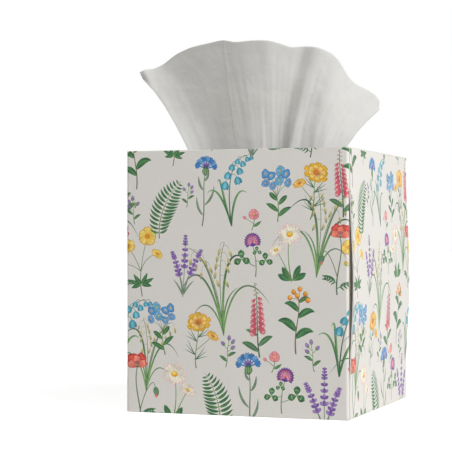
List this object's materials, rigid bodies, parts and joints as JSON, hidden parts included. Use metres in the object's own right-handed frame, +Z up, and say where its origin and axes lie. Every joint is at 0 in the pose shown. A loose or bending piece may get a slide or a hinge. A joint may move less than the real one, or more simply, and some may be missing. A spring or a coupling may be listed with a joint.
{
  "type": "tissue box",
  "caption": "Cube-shaped folded card tissue box with a printed wildflower pattern, an oval opening in its top, a clip of tissues inside and one tissue fanned out of the opening.",
  "frame": {"origin": "centre of the carton's base, on the table", "axes": "+Z up, -Y out of the front wall, +X to the right seen from the front"},
  "size_m": [0.1275, 0.112, 0.1837],
  "materials": {
    "printed_card": "offset-printed folding boxboard, satin",
    "tissue_paper": "soft creped tissue, matt"
  },
  "bodies": {
    "root": {"carton": "printed_card", "tissue_stack": "tissue_paper", "pulled_tissue": "tissue_paper"}
  },
  "joints": []
}
